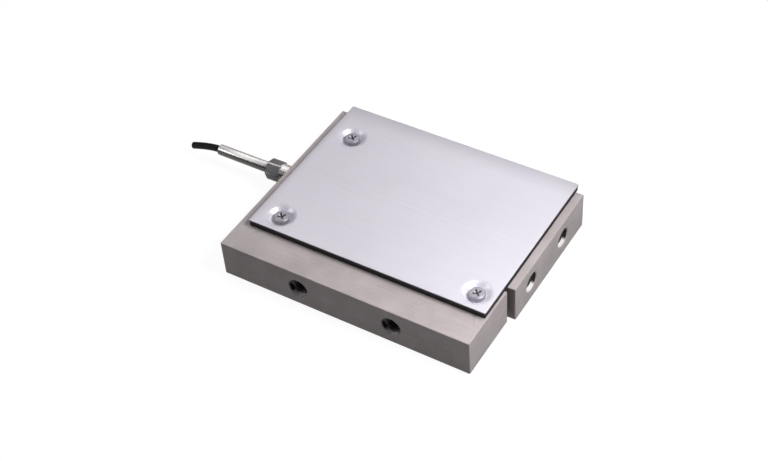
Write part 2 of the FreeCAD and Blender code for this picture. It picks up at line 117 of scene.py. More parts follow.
# Cable gland, sleeve and seal; the hexagon's step and spread are in degrees
SEAL_LENGTH = 1.0 * MM
SEAL_INNER_RADIUS = 4.2 * MM
SEAL_EDGE_ROUND = 0.4 * MM
BARREL_RADIUS = 6.0 * MM
BARREL_LENGTH = 8.5 * MM
HEX_SIDES = 6
HEX_STEP = 360 / HEX_SIDES
HEX_ACROSS_FLATS = 12.0 * MM
HEX_LENGTH = 10.0 * MM
HEX_TURN = math.radians(15)
HEX_CHAMFER = math.radians(30)
HEX_EDGE_ROUND = 0.5 * MM
FLAT_SPREAD = 5.0
CHAMFER_LEAN = 0.2
SLEEVE_MOUTH_ROUND = 0.6 * MM
SLEEVE_BORE_GAP = 0.1 * MM

# Cable, with its route's points from the block's face to the cut end
CABLE_RADIUS = 2.25 * MM
CABLE_ROUTE = (
    Vector((-84.25, 10.0, 12.5)) * MM,
    Vector((-133.35, 10.0, 12.5)) * MM,
    Vector((-149.35, 10.0, 12.5)) * MM,
    Vector((-164.347, 10.0, 6.923)) * MM,
)
CABLE_CURVE_ORDER = 3
CABLE_ROUTE_STEPS = 16
CABLE_ROUND_STEPS = 8
CUT_BACK = 0.3 * MM
FILLER_RADIUS = 1.8 * MM
FILLER_LENGTH = 0.08 * MM
CORE_COLOURS = ("red", "black", "green", "white")
CORE_RADIUS = 0.55 * MM
CORE_LENGTH = 0.2 * MM
CORE_CIRCLE = 0.95 * MM
CORE_SIDES = 24
CONDUCTOR_RADIUS = 0.26 * MM

# Camera of the photograph, with the lens and the sensor's width in millimetres
CAMERA_EYE = Vector((333.712, -507.870, 614.566)) * MM
CAMERA_AZIMUTH = math.radians(34.468)
CAMERA_ELEVATION = math.radians(44.588)
CAMERA_ROLL = math.radians(-4.747)
CAMERA_LENS = 67.80
CAMERA_SENSOR = 36.0

# Floor and world
FLOOR_SIZE = 8.0
FLOOR_DROP = 0.2 * MM
FLOOR_TONE = 0.14
FLOOR_GLOW = 0.92
WORLD_TONE = (0.05, 0.05, 0.052)

# Soft lamps: place, aim, width, length and power
SOFT_LAMPS = {
    "key": ((0.27, 0.03, 0.40), (0.03, 0.0, 0.02), 0.20, 0.20, 2.0),
    "corner_card": ((0.13, -0.075, 0.13), (0.075, -0.06, 0.025), 0.06, 0.06, 0.045),
    "left_fill": ((-0.47, 0.0, 0.58), (-0.10, 0.0, 0.02), 0.15, 0.80, 0.53),
    "back_panel": ((-0.75, 1.10, 1.45), (0.0, 0.0, 0.02), 1.6, 1.6, 4.7),
    "back_card": ((-0.25, 1.15, 1.45), (0.0, 0.0, 0.02), 0.8, 0.8, 2.5),
    "front_fill": ((-0.90, -0.60, 0.50), (0.0, 0.0, 0.02), 0.5, 0.5, 1.95),
}

# Patterns: how much each is drawn out or packed along the axes, and their height
EVEN = (1, 1, 1)
FINE_MARKS = (300, 300, 300)
TURNING_MARKS = (1500, 6, 6)
GRINDING_MARKS = (6, 260, 260)
BRUSH_MARKS = (4, 420, 420)
BRUSH_STREAKS = (3, 130, 130)
GRAIN_HEIGHT = 0.05 * MM
BRUSH_HEIGHT = 0.03 * MM

# Shading: noise, the span of it over which two tones change, and what a finish has if it doesn't say
NOISE_ROUGHNESS = 0.55
TONE_START = 0.30
TONE_END = 0.70
PLAIN_SPECULAR = 0.5
PLAIN_FLANK = (0.25, 0.75)

# Tone of the cover by how level it lies: painted shade on the sheared edges, painted light on the pressed
# walls, and a plain top
SHEET_PAINTED_TONES = ((0.25, 0.08), (0.45, 1.0), (0.85, 1.0), (0.985, 0.77))

# Plated and machined finishes; underside is the share of tone left on faces that look up less than flank, a
# painted shade on them
PLATED = {
    # Painted light and shade in the threaded holes: bright on the lower walls that look up, nearly black
    # elsewhere
    "bore_painted_light_and_shade": dict(
        metallic=0.1, dark=(0.84, 0.80, 0.80), light=(0.93, 0.89, 0.89), rough=(0.40, 0.55),
        underside=0.03, flank=(0.66, 0.86),
    ),
    # Painted shade on the slot's back wall
    "slot_painted_shade": dict(
        metallic=0.03, dark=(0.15, 0.13, 0.125), light=(0.19, 0.17, 0.16), rough=(0.45, 0.58),
    ),
    # Painted shade on faces of the screw that look up less, such as the head's side
    "screw_steel": dict(
        metallic=0.3, dark=(0.33, 0.315, 0.355), light=(0.42, 0.400, 0.450), rough=(0.32, 0.44),
        underside=0.75,
    ),
    # Painted shade in the wings of the cross recess
    "recess_painted_shade": dict(
        metallic=0.2, dark=(0.095, 0.088, 0.105), light=(0.130, 0.122, 0.142), rough=(0.40, 0.55),
    ),
    # Painted highlight on the cone in the middle of the recess
    "recess_painted_highlight": dict(
        metallic=0.3, dark=(0.80, 0.78, 0.82), light=(0.88, 0.86, 0.90), rough=(0.25, 0.35),
    ),
    # Painted light and shade: a bright copy of the gland's nickel, cut to 12 % on faces that look down
    "gland_nickel": dict(
        metallic=0.75, dark=(0.82, 0.79, 0.78), light=(0.92, 0.89, 0.88), rough=(0.22, 0.32),
        stretch=TURNING_MARKS, underside=0.12, flank=(0.50, 0.74),
    ),
    # Painted shade: a dark copy of the gland's nickel for the hexagon's flats, darker still on flats that
    # look down
    "hex_flat_painted_shade": dict(
        metallic=0.1, dark=(0.155, 0.146, 0.158), light=(0.195, 0.184, 0.198), rough=(0.40, 0.52),
        stretch=TURNING_MARKS, underside=0.55, specular=0.25,
    ),
    # Painted shade: the hexagon's end chamfer, a still darker copy of the gland's nickel
    "chamfer_painted_shade": dict(
        metallic=0.1, dark=(0.090, 0.086, 0.096), light=(0.125, 0.120, 0.132), rough=(0.45, 0.55),
        stretch=TURNING_MARKS, specular=0.15,
    ),
    "terminal_copper": dict(
        metallic=0.9, dark=(0.50, 0.24, 0.13), light=(0.64, 0.34, 0.19), rough=(0.25, 0.40),
    ),
}

# Rubber, plastic, film and lacquer: grain is in 1/m, and relief is how strongly it shows
INSULATION = dict(rough=(0.35, 0.48), grain=1200)
MOULDED = {
    "seal_rubber": dict(
        dark=(0.012, 0.012, 0.013), light=(0.024, 0.023, 0.024), rough=(0.55, 0.70), grain=1500,
        relief=0.2, specular=0.25,
    ),
    "cable_jacket": dict(
        dark=(0.008, 0.008, 0.009), light=(0.015, 0.015, 0.016), rough=(0.46, 0.58), grain=1200,
        relief=0.12, specular=0.15,
    ),
    "gauge_backing": dict(dark=(0.42, 0.20, 0.04), light=(0.55, 0.28, 0.07), rough=(0.30, 0.45), grain=900),
    "gauge_silicone": dict(
        dark=(0.62, 0.60, 0.56), light=(0.72, 0.70, 0.66), rough=(0.30, 0.45), grain=500, relief=0.15,
    ),
    "board_laminate": dict(
        dark=(0.010, 0.090, 0.035), light=(0.020, 0.130, 0.050), rough=(0.28, 0.42), grain=700,
    ),
    "resistor_body": dict(dark=(0.13, 0.27, 0.42), light=(0.18, 0.33, 0.49), rough=(0.30, 0.42), grain=900),
    "lead_film": dict(dark=(0.45, 0.19, 0.04), light=(0.58, 0.27, 0.07), rough=(0.26, 0.38), grain=800),
    "core_red": dict(dark=(0.38, 0.012, 0.012), light=(0.48, 0.020, 0.018), **INSULATION),
    "core_black": dict(dark=(0.010, 0.010, 0.011), light=(0.018, 0.018, 0.019), **INSULATION),
    "core_green": dict(dark=(0.010, 0.19, 0.045), light=(0.018, 0.25, 0.065), **INSULATION),
    "core_white": dict(dark=(0.66, 0.65, 0.62), light=(0.74, 0.73, 0.70), **INSULATION),
}


# Handling of objects

def deselect_all():
    bpy.ops.object.select_all(action="DESELECT")


def activate(piece):
    """Makes a piece the active one, and the only one selected."""
    deselect_all()
    piece.select_set(True)
    bpy.context.view_layer.objects.active = piece


def named(piece, name):
    """Gives an object and its mesh the same name."""
    piece.name = name
    piece.data.name = name
    return piece


def modified(piece, kind, **settings):
    """Adds a modifier with these settings and applies it."""
    activate(piece)
    modifier = piece.modifiers.new(kind.lower(), kind)
    for setting, value in settings.items():
        setattr(modifier, setting, value)
    bpy.ops.object.modifier_apply(modifier=modifier.name)


def round_edges(piece, width, steps, angle=ROUND_ANGLE):
    """Rounds the edges where two faces turn by more than the angle."""
    modified(
        piece, "BEVEL", width=width, segments=steps,
        limit_method="ANGLE", angle_limit=math.radians(angle),
    )


def cut(piece, tool, operation="DIFFERENCE"):
    """Boolean of the piece with a tool, which is then thrown away."""
    modified(piece, "BOOLEAN", operation=operation, object=tool, solver="EXACT")
    bpy.data.objects.remove(tool)


def smoothed(piece, angle=SMOOTH_ANGLE):
    """Shades a piece smooth where two faces turn by less than the angle."""
    activate(piece)
    bpy.ops.object.shade_smooth_by_angle(angle=math.radians(angle))
    return piece


def placed(piece, placement):
    """Moves a piece's mesh, so that the object itself stays at the origin."""
    piece.data.transform(placement)
    piece.data.update()
    return piece


def copied(piece, name, placement):
    """A copy of a piece with a mesh of its own."""
    twin = bpy.data.objects.new(name, piece.data.copy())
    twin.data.name = name
    bpy.context.scene.collection.objects.link(twin)
    return placed(twin, placement)


def cad_copy(node_name, name):
    """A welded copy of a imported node, to be refined."""
    piece = bpy.data.objects.new(name, frame["nodes"][node_name].data.copy())
    bpy.context.scene.collection.objects.link(piece)
    named(piece, name)
    piece.data.materials.clear()
    activate(piece)
    bpy.ops.object.mode_set(mode="EDIT")
    bpy.ops.mesh.select_all(action="SELECT")
    bpy.ops.mesh.remove_doubles(threshold=MERGE_DISTANCE)
    bpy.ops.object.mode_set(mode="OBJECT")
    return piece


def aimed(direction, axis="Z"):
    """The turn that points an axis along a direction."""
    return direction.to_track_quat(axis, "Y").to_matrix().to_4x4()


def point_outwards():
    """Turns all faces of the mesh in edit mode outwards."""
    bpy.ops.mesh.select_all(action="SELECT")
    bpy.ops.mesh.normals_make_consistent(inside=False)


def pick_open_edges():
    """Selects the open edges of the mesh in edit mode."""
    bpy.ops.mesh.select_all(action="DESELECT")
    bpy.ops.mesh.select_non_manifold()


def extruded_ring(rise, share, centre):
    """Extrudes the selected ring of edges up by rise and scales it about centre."""
    bpy.ops.mesh.extrude_region_move(TRANSFORM_OT_translate={"value": (0, 0, rise)})
    bpy.ops.transform.resize(value=(share, share, 1), center_override=centre)


def turned(name, profile, sides=TURNED_SIDES, hollow=False):
    """A piece turned about Z from (height, radius) points; a hollow one's last ring joins its first."""
    deselect_all()
    height, radius = profile[0]
    bpy.ops.mesh.primitive_circle_add(vertices=sides, radius=radius, fill_type="NOTHING")
    piece = named(bpy.context.object, name)
    placed(piece, Matrix.Translation((0, 0, height)))
    bpy.ops.object.mode_set(mode="EDIT")
    bpy.ops.mesh.select_all(action="SELECT")
    for next_height, next_radius in profile[1:]:
        extruded_ring(next_height - height, next_radius / radius, (0, 0, next_height))
        height, radius = next_height, next_radius
    pick_open_edges()
    if hollow:
        bpy.ops.mesh.bridge_edge_loops()
    else:
        bpy.ops.mesh.fill_holes(sides=0)
    point_outwards()
    bpy.ops.object.mode_set(mode="OBJECT")
    return piece


# Handling of materials

def opaque(colour):
    """A colour, or a grey given as one number, with full cover."""
    red, green, blue = colour if isinstance(colour, tuple) else (colour, colour, colour)
    return red, green, blue, 1.0


class Finish:
    """A procedural material that is read on Object coordinates."""

    def __init__(self, name, metallic, specular=PLAIN_SPECULAR):
        self.material = bpy.data.materials.new(name)
        self.material.use_nodes = True
        self.nodes = self.material.node_tree.nodes
        self.links = self.material.node_tree.links
        self.shader = self.nodes["Principled BSDF"]
        self.shader.inputs["Metallic"].default_value = metallic
        self.shader.inputs["Specular IOR Level"].default_value = specular
        self.object_place = self.nodes.new("ShaderNodeTexCoord").outputs["Object"]

    def noise(self, stretch, scale, detail):
        """Noise in 1/m, stretched along the axes."""
        mapping = self.nodes.new("ShaderNodeMapping")
        mapping.inputs["Scale"].default_value = stretch
        self.links.new(self.object_place, mapping.inputs["Vector"])
        texture = self.nodes.new("ShaderNodeTexNoise")
        texture.inputs["Scale"].default_value = scale
        texture.inputs["Detail"].default_value = detail
        texture.inputs["Roughness"].default_value = NOISE_ROUGHNESS
        self.links.new(mapping.outputs["Vector"], texture.inputs["Vector"])
        return texture.outputs["Fac"]

    def ramp(self, value, stops):
        """Colours or greys by position."""
        ramp = self.nodes.new("ShaderNodeValToRGB")
        elements = ramp.color_ramp.elements
        for position, _ in stops[1:-1]:
            elements.new(position=position)
        for element, (position, colour) in zip(elements, stops):
            element.position = position
            element.color = opaque(colour)
        self.links.new(value, ramp.inputs["Fac"])
        return ramp.outputs["Color"]

    def toned(self, value, dark, light):
        """Two tones that change over the middle of a noise."""
        return self.ramp(value, ((TONE_START, dark), (TONE_END, light)))

    def mixed(self, first, second, blend, share=1.0):
        """Two colours blended, with a share of the second."""
        mix = self.nodes.new("ShaderNodeMix")
        mix.data_type = "RGBA"
        mix.blend_type = blend
        mix.inputs["Factor"].default_value = share
        first_input, second_input = [socket for socket in mix.inputs if socket.type == "RGBA"]
        self.links.new(first, first_input)
        self.links.new(second, second_input)
        return next(socket for socket in mix.outputs if socket.type == "RGBA")

    def facing_up(self):
        """How much a face looks up, from 1 on a top to -1 on an underside."""
        geometry = self.nodes.new("ShaderNodeNewGeometry")
        parts = self.nodes.new("ShaderNodeSeparateXYZ")
        self.links.new(geometry.outputs["Normal"], parts.inputs["Vector"])
        return parts.outputs["Z"]

    def level(self):
        """How level a face lies, from 0 on a side to 1 on a top or an underside."""
        size = self.nodes.new("ShaderNodeMath")
        size.operation = "ABSOLUTE"
        self.links.new(self.facing_up(), size.inputs[0])
        return size.outputs["Value"]

    def colour(self, socket):
        """Takes the base colour from a socket."""
        self.links.new(socket, self.shader.inputs["Base Color"])

    def roughness(self, value, low, high):
        """Spreads a noise between two roughnesses."""
        spread = self.nodes.new("ShaderNodeMapRange")
        spread.inputs["To Min"].default_value = low
        spread.inputs["To Max"].default_value = high
        self.links.new(value, spread.inputs["Value"])
        self.links.new(spread.outputs["Result"], self.shader.inputs["Roughness"])

    def bump(self, height, strength, distance):
        """Lets a noise stand out from the surface."""
        bump = self.nodes.new("ShaderNodeBump")
        bump.inputs["Strength"].default_value = strength
        bump.inputs["Distance"].default_value = distance
        self.links.new(height, bump.inputs["Height"])
        self.links.new(bump.outputs["Normal"], self.shader.inputs["Normal"])


def block_steel():
    """Ground, nickel-plated steel with long fine grinding marks."""
    finish = Finish("block_steel", metallic=0.03, specular=0.25)
    clouds = finish.noise(EVEN, scale=60, detail=6)
    marks = finish.noise(GRINDING_MARKS, scale=6, detail=5)
    grain = finish.noise(EVEN, scale=1800, detail=2)
    tone = finish.toned(clouds, dark=(0.402, 0.354, 0.356), light=(0.498, 0.440, 0.446))
    lined = finish.mixed(tone, marks, "SOFT_LIGHT", share=0.35)
    finish.colour(finish.mixed(lined, grain, "SOFT_LIGHT", share=0.40))
    finish.roughness(marks, low=0.42, high=0.56)
    finish.bump(marks, strength=0.12, distance=GRAIN_HEIGHT)
    return finish.material


def cover_sheet():
    """Brushed sheet with painted shade on its sheared edges and painted light on its pressed walls."""
    finish = Finish("cover_sheet", metallic=0.4)
    clouds = finish.noise(EVEN, scale=18, detail=3)
    brushed = finish.noise(BRUSH_MARKS, scale=5, detail=6)
    streaks = finish.noise(BRUSH_STREAKS, scale=5, detail=2)
    tone = finish.toned(clouds, dark=(0.885, 0.848, 0.938), light=(0.935, 0.898, 0.990))
    lined = finish.mixed(tone, brushed, "SOFT_LIGHT", share=0.25)
    streaked = finish.mixed(lined, streaks, "SOFT_LIGHT", share=0.30)
    # Painted shade on the sheet's edges and painted light on its pressed walls, by how level a face lies
    painted_by_level = finish.ramp(finish.level(), SHEET_PAINTED_TONES)
    finish.colour(finish.mixed(streaked, painted_by_level, "MULTIPLY"))
    finish.roughness(brushed, low=0.36, high=0.48)
    finish.bump(brushed, strength=0.06, distance=BRUSH_HEIGHT)
    return finish.material


def plated(
    name, metallic, dark, light, rough,
    stretch=FINE_MARKS, underside=1.0, flank=PLAIN_FLANK, specular=PLAIN_SPECULAR,
):
    """Plated or machined metal with fine marks, and painted shade on faces that look up less where
    underside is below 1.
    """
    finish = Finish(name, metallic=metallic, specular=specular)
    marks = finish.noise(stretch, scale=5, detail=4)
    clouds = finish.noise(EVEN, scale=220, detail=3)
    tone = finish.toned(clouds, dark, light)
    lined = finish.mixed(tone, marks, "SOFT_LIGHT", share=0.10)
    if underside < 1:
        flank_low, flank_high = flank
        # Painted shade: faces that look up less than flank keep only the underside share of their tone
        painted_by_facing = finish.ramp(finish.facing_up(), ((flank_low, underside), (flank_high, 1.0)))
        lined = finish.mixed(lined, painted_by_facing, "MULTIPLY")
    finish.colour(lined)
    finish.roughness(clouds, *rough)
    return finish.material


def moulded(name, dark, light, rough, grain, relief=0.1, specular=PLAIN_SPECULAR):
    """Rubber, plastic or lacquer with a fine grain."""
    finish = Finish(name, metallic=0.0, specular=specular)
    grained = finish.noise(EVEN, scale=grain, detail=4)
    finish.colour(finish.toned(grained, dark, light))
    finish.roughness(grained, *rough)
    finish.bump(grained, strength=relief, distance=GRAIN_HEIGHT)
    return finish.material


finishes = {"block_steel": block_steel(), "cover_sheet": cover_sheet()}
for name, look in PLATED.items():
    finishes[name] = plated(name, **look)
for name, look in MOULDED.items():
    finishes[name] = moulded(name, **look)

for subpart in frame["record"]["subparts"]:
    node = frame["nodes"][subpart["node"]]
    node.data.materials.clear()
    node.data.materials.append(finishes[subpart["material_slot"]])


def finished(piece, slot, *nodes):
    """Gives a piece its finish, hides the nodes that it stands for, and lets it ride on the part."""
    if not piece.data.materials:
        piece.data.materials.append(finishes[slot])
    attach(piece, "root")
    if nodes:
        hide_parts(*nodes)
    return piece


def accented(piece, finish_name, accents=()):
    """Gives a piece a finish, and each further one to the faces that pass its test."""
    piece.data.materials.append(finishes[finish_name])
    for index, (accent_name, wanted) in enumerate(accents, start=1):
        piece.data.materials.append(finishes[accent_name])
        for face in piece.data.polygons:
            if wanted(face):
                face.material_index = index


# Places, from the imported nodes
block_low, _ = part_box("spring_element")
cover_low, cover_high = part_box("cover_plate")
screws_low, screws_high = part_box("cover_screws")
sleeve_low, sleeve_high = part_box("gland_sleeve")
sleeve_radius = (sleeve_high.z - sleeve_low.z) / 2
cover_depth = cover_high.z - cover_low.z - SHEET_THICKNESS
screw_seat = cover_low.z + SHEET_THICKNESS
screw_left = screws_low.x + SCREW_HEAD_RADIUS
screw_right = screws_high.x - SCREW_HEAD_RADIUS
screw_front = screws_low.y + SCREW_HEAD_RADIUS
screw_back = screws_high.y - SCREW_HEAD_RADIUS
screw_places = ((screw_left, screw_front), (screw_right, screw_front), (screw_left, screw_back))
cable_exit = CABLE_ROUTE[0]
cable_end = CABLE_ROUTE[-1]
cut_direction = (cable_end - CABLE_ROUTE[-2]).normalized()
jacket_end = cable_end - cut_direction * CUT_BACK
outward = Matrix.Translation(cable_exit) @ Matrix.Rotation(-math.pi / 2, 4, "Y")


# Machined block

def bolt_holes():
    """Name, start of the wall, inward direction and radius of each threaded hole."""
    for mount in frame["record"]["mounts"]:
        if mount["kind"] != "bolt_pattern":
            continue
        inward = -Vector(mount["axis"])
        along = inward.cross(Vector((0, 0, 1)))
        half_spacing = mount["dims"]["spacing_x_mm"] * MM / 2
        radius = mount["dims"]["hole_r_mm"] * MM
        for number, side in enumerate((-half_spacing, half_spacing), start=1):
            start = Vector(mount["pos_m"]) + along * side
            yield f"{mount['name']}_thread_{number}", start, inward, radius


holes = list(bolt_holes())


def in_bore(face):
    """Whether a face of the block lies in one of its threaded holes."""
    for _, start, inward, radius in holes:
        reach = face.center - start
        depth = reach.dot(inward)
        aside = (reach - inward * depth).length
        if 0 < depth < BORE_DEPTH and aside < radius + MERGE_DISTANCE:
            return True
    return False


def in_slot(face):
    """Whether a face of the block lies on the back wall of its slot."""
    return abs(face.center.y - SLOT_BACK) < MERGE_DISTANCE


block = cad_copy("spring_element", "machined_block")
smoothed(block, BLOCK_SMOOTH_ANGLE)
modified(block, "WEIGHTED_NORMAL", keep_sharp=True)
# Painted light and shade in the threaded holes, and painted shade on the slot's back wall
accented(block, "block_steel", [("bore_painted_light_and_shade", in_bore), ("slot_painted_shade", in_slot)])
finished(block, "block_steel", "spring_element")


def thread_ridge(name, wall_radius):
    """A helical ridge that stands in from the wall of a hole along Z."""
    half_foot = THREAD_PITCH * THREAD_FOOT_SHARE / 2
    corners = [
        (wall_radius + THREAD_ROOT, 0, -half_foot),
        (wall_radius + THREAD_ROOT, 0, half_foot),
        (wall_radius - THREAD_DEPTH, 0, 0),
    ]
    deselect_all()
    bpy.ops.mesh.primitive_circle_add(vertices=len(corners), radius=wall_radius, fill_type="NOTHING")
    ridge = named(bpy.context.object, name)
    for vertex, corner in zip(ridge.data.vertices, corners):
        vertex.co = corner
    modified(
        ridge, "SCREW", axis="Z", screw_offset=THREAD_PITCH, iterations=THREAD_TURNS,
        steps=THREAD_STEPS, render_steps=THREAD_STEPS, use_smooth_shade=False,
    )
    activate(ridge)
    bpy.ops.object.mode_set(mode="EDIT")
    pick_open_edges()
    bpy.ops.mesh.fill_holes(sides=0)
    point_outwards()
    bpy.ops.object.mode_set(mode="OBJECT")
    return smoothed(ridge, RIDGE_SMOOTH_ANGLE)


for name, start, inward, radius in holes:
    ridge = thread_ridge(name, radius)
    placed(ridge, Matrix.Translation(start + inward * THREAD_PITCH) @ aimed(inward))
    # Painted light and shade on the thread ridges, as in the holes
    accented(ridge, "bore_painted_light_and_shade")
    finished(ridge, "block_steel")


# Sheet cover

def dimple_rings():
    """Radius and depth of each ring of a pressed dimple, from its mouth to its hole."""
    slope = math.atan2(cover_depth, DIMPLE_MOUTH_RADIUS - DIMPLE_FLOOR_RADIUS)
    mouth_run = DIMPLE_MOUTH_BEND * math.tan(slope / 2)
    foot_run = DIMPLE_FOOT_BEND * math.tan(slope / 2)
    rings = []
    for step in range(DIMPLE_BEND_STEPS + 1):
        turn = slope * step / DIMPLE_BEND_STEPS
        radius = DIMPLE_MOUTH_RADIUS + mouth_run - DIMPLE_MOUTH_BEND * math.sin(turn)
        rings.append((radius, DIMPLE_MOUTH_BEND * (1 - math.cos(turn))))
    for step in range(DIMPLE_BEND_STEPS + 1):
        turn = slope * (1 - step / DIMPLE_BEND_STEPS)
        radius = DIMPLE_FLOOR_RADIUS - foot_run + DIMPLE_FOOT_BEND * math.sin(turn)
        rings.append((radius, cover_depth - DIMPLE_FOOT_BEND * (1 - math.cos(turn))))
    rings.append((DIMPLE_HOLE_RADIUS, cover_depth))
    return rings


def pick_edges(sheet, wanted):
    """Selects the edges whose two ends both pass the test."""
    activate(sheet)
    bpy.context.tool_settings.mesh_select_mode = (False, True, False)
    vertices = sheet.data.vertices
    for part in (*sheet.data.polygons, *vertices):
        part.select = False
    for edge in sheet.data.edges:
        edge.select = all(wanted(vertices[end].co) for end in edge.vertices)
        if edge.select:
            for end in edge.vertices:
                vertices[end].select = True


def pick_faces(sheet, wanted):
    """Selects the faces whose middle passes the test."""
    activate(sheet)
    bpy.context.tool_settings.mesh_select_mode = (False, False, True)
    for part in (*sheet.data.vertices, *sheet.data.edges):
        part.select = False
    for face in sheet.data.polygons:
        face.select = wanted(face.center)


def pick_corners(sheet):
    """Selects the four outer corners of the sheet."""
    activate(sheet)
    bpy.context.tool_settings.mesh_select_mode = (True, False, False)
    for part in (*sheet.data.polygons, *sheet.data.edges):
        part.select = False
    for vertex in sheet.data.vertices:
        at_side = min(vertex.co.x - cover_low.x, cover_high.x - vertex.co.x) < MERGE_DISTANCE
        at_end = min(vertex.co.y - cover_low.y, cover_high.y - vertex.co.y) < MERGE_DISTANCE
        vertex.select = at_side and at_end


def press_dimple(sheet, x, y):
    """Opens a square patch about x, y, rounds it to the dimple's mouth and draws that down ring by ring."""
    rings = dimple_rings()
    mouth, _ = rings[0]
    centre = (x, y, cover_high.z)

    def at_middle(place):
        return math.hypot(place.x - x, place.y - y) < MERGE_DISTANCE

    def on_square(place):
        reach = max(abs(place.x - x), abs(place.y - y))
        return abs(reach - DIMPLE_PATCH) < MERGE_DISTANCE

    pick_faces(sheet, at_middle)
    bpy.ops.object.mode_set(mode="EDIT")
    bpy.ops.mesh.delete(type="ONLY_FACE")
    bpy.ops.object.mode_set(mode="OBJECT")
    pick_edges(sheet, on_square)
    bpy.ops.object.mode_set(mode="EDIT")
    bpy.ops.mesh.subdivide(number_cuts=DIMPLE_SIDES // 4 - 1)
    extruded_ring(0, mouth / DIMPLE_PATCH, centre)
    bpy.ops.transform.tosphere(value=1, center_override=centre)
    bpy.ops.object.mode_set(mode="OBJECT")
    ring = [vertex.co for vertex in sheet.data.vertices if vertex.select]
    reached = sum(math.hypot(place.x - x, place.y - y) for place in ring) / len(ring)
    bpy.ops.object.mode_set(mode="EDIT")
    bpy.ops.transform.resize(value=(mouth / reached, mouth / reached, 1), center_override=centre)
    for (radius, depth), (next_radius, next_depth) in zip(rings, rings[1:]):
        extruded_ring(depth - next_depth, next_radius / radius, (x, y, cover_high.z - next_depth))
    bpy.ops.object.mode_set(mode="OBJECT")


def mark_out_patches():
    """Cuts the sheet in edit mode along the sides of its dimples' square patches."""
    across = Vector((1, 0, 0))
    along = Vector((0, 1, 0))
    for axis, middles in ((across, (screw_left, screw_right)), (along, (screw_front, screw_back))):
        for middle in middles:
            for side in (-DIMPLE_PATCH, DIMPLE_PATCH):
                bpy.ops.mesh.select_all(action="SELECT")
                bpy.ops.mesh.bisect(plane_co=axis * (middle + side), plane_no=axis)


def cover():
    """A flat sheet, with patches marked out for its dimples and then pressed."""
    deselect_all()
    bpy.ops.mesh.primitive_plane_add(size=1)
    sheet = named(bpy.context.object, "sheet_cover")
    size = cover_high - cover_low
    middle = (cover_low + cover_high) / 2
    lift = Matrix.Translation((middle.x, middle.y, cover_high.z))
    placed(sheet, lift @ Matrix.Diagonal((size.x, size.y, 1, 1)))
    bpy.ops.object.mode_set(mode="EDIT")
    mark_out_patches()
    bpy.ops.object.mode_set(mode="OBJECT")
    for x, y in screw_places:
        press_dimple(sheet, x, y)
    pick_corners(sheet)
    bpy.ops.object.mode_set(mode="EDIT")
    bpy.ops.mesh.bevel(offset=SHEET_CORNER_RADIUS, segments=SHEET_CORNER_STEPS, affect="VERTICES")
    point_outwards()
    bpy.ops.object.mode_set(mode="OBJECT")
    if sum(face.normal.z * face.area for face in sheet.data.polygons) < 0:
        sheet.data.flip_normals()
    modified(sheet, "SOLIDIFY", thickness=SHEET_THICKNESS, offset=-1, use_even_offset=True)
    round_edges(sheet, SHEET_EDGE_ROUND, COARSE_ROUND_STEPS, SHEET_ROUND_ANGLE)
    return smoothed(sheet, FORMED_SMOOTH_ANGLE)


finished(cover(), "cover_sheet", "cover_plate")


# Gasket under the cover's rim

gasket = cad_copy("cover_gasket", "soft_gasket")
round_edges(gasket, GASKET_EDGE_ROUND, FINE_ROUND_STEPS)
finished(smoothed(gasket), "seal_rubber", "cover_gasket")


# Pan screws

def recess_blade(turn):
    """One tapered blade of the cross recess, at its true size where it meets the head's top."""
    deselect_all()
    bpy.ops.mesh.primitive_cube_add(size=1)
    blade = named(bpy.context.object, "recess_blade")
    height = RECESS_DEPTH * 2
    for vertex in blade.data.vertices:
        share = RECESS_TAPER if vertex.co.z < 0 else 2 - RECESS_TAPER
        x, y, z = vertex.co
        vertex.co = (x * RECESS_SPAN * share, y * RECESS_WIDTH * share, z * height)
    lift = Matrix.Translation((0, 0, SCREW_HEAD_HEIGHT))
    return placed(blade, lift @ Matrix.Rotation(turn, 4, "Z"))


def recess_well():
    """The conical middle of the cross recess."""
    return turned("recess_well", [
        (SCREW_HEAD_HEIGHT - WELL_DEPTH, WELL_TIP_RADIUS),
        (SCREW_HEAD_HEIGHT, WELL_RADIUS),
        (SCREW_HEAD_HEIGHT + WELL_DEPTH, WELL_RADIUS),
    ], sides=WELL_SIDES)


def in_recess(face):
    """Whether a face of the screw lies in its cross recess."""
    aside = math.hypot(face.center.x, face.center.y)
    floor_height = SCREW_HEAD_HEIGHT - RECESS_DEPTH - RECESS_FLOOR_SPARE
    rim_height = SCREW_HEAD_HEIGHT - SCREW_CROWN_RISE
    return aside < RECESS_SPAN / 2 and floor_height < face.center.z < rim_height


def in_well(face):
    """Whether a face of the screw lies on the cone in the middle of the recess."""
    return in_recess(face) and WELL_LEAN_LOW < face.normal.z < WELL_LEAN_HIGH


def in_wing(face):
    """Whether a face of the screw lies in one of the recess's four wings."""
    return in_recess(face) and not in_well(face)


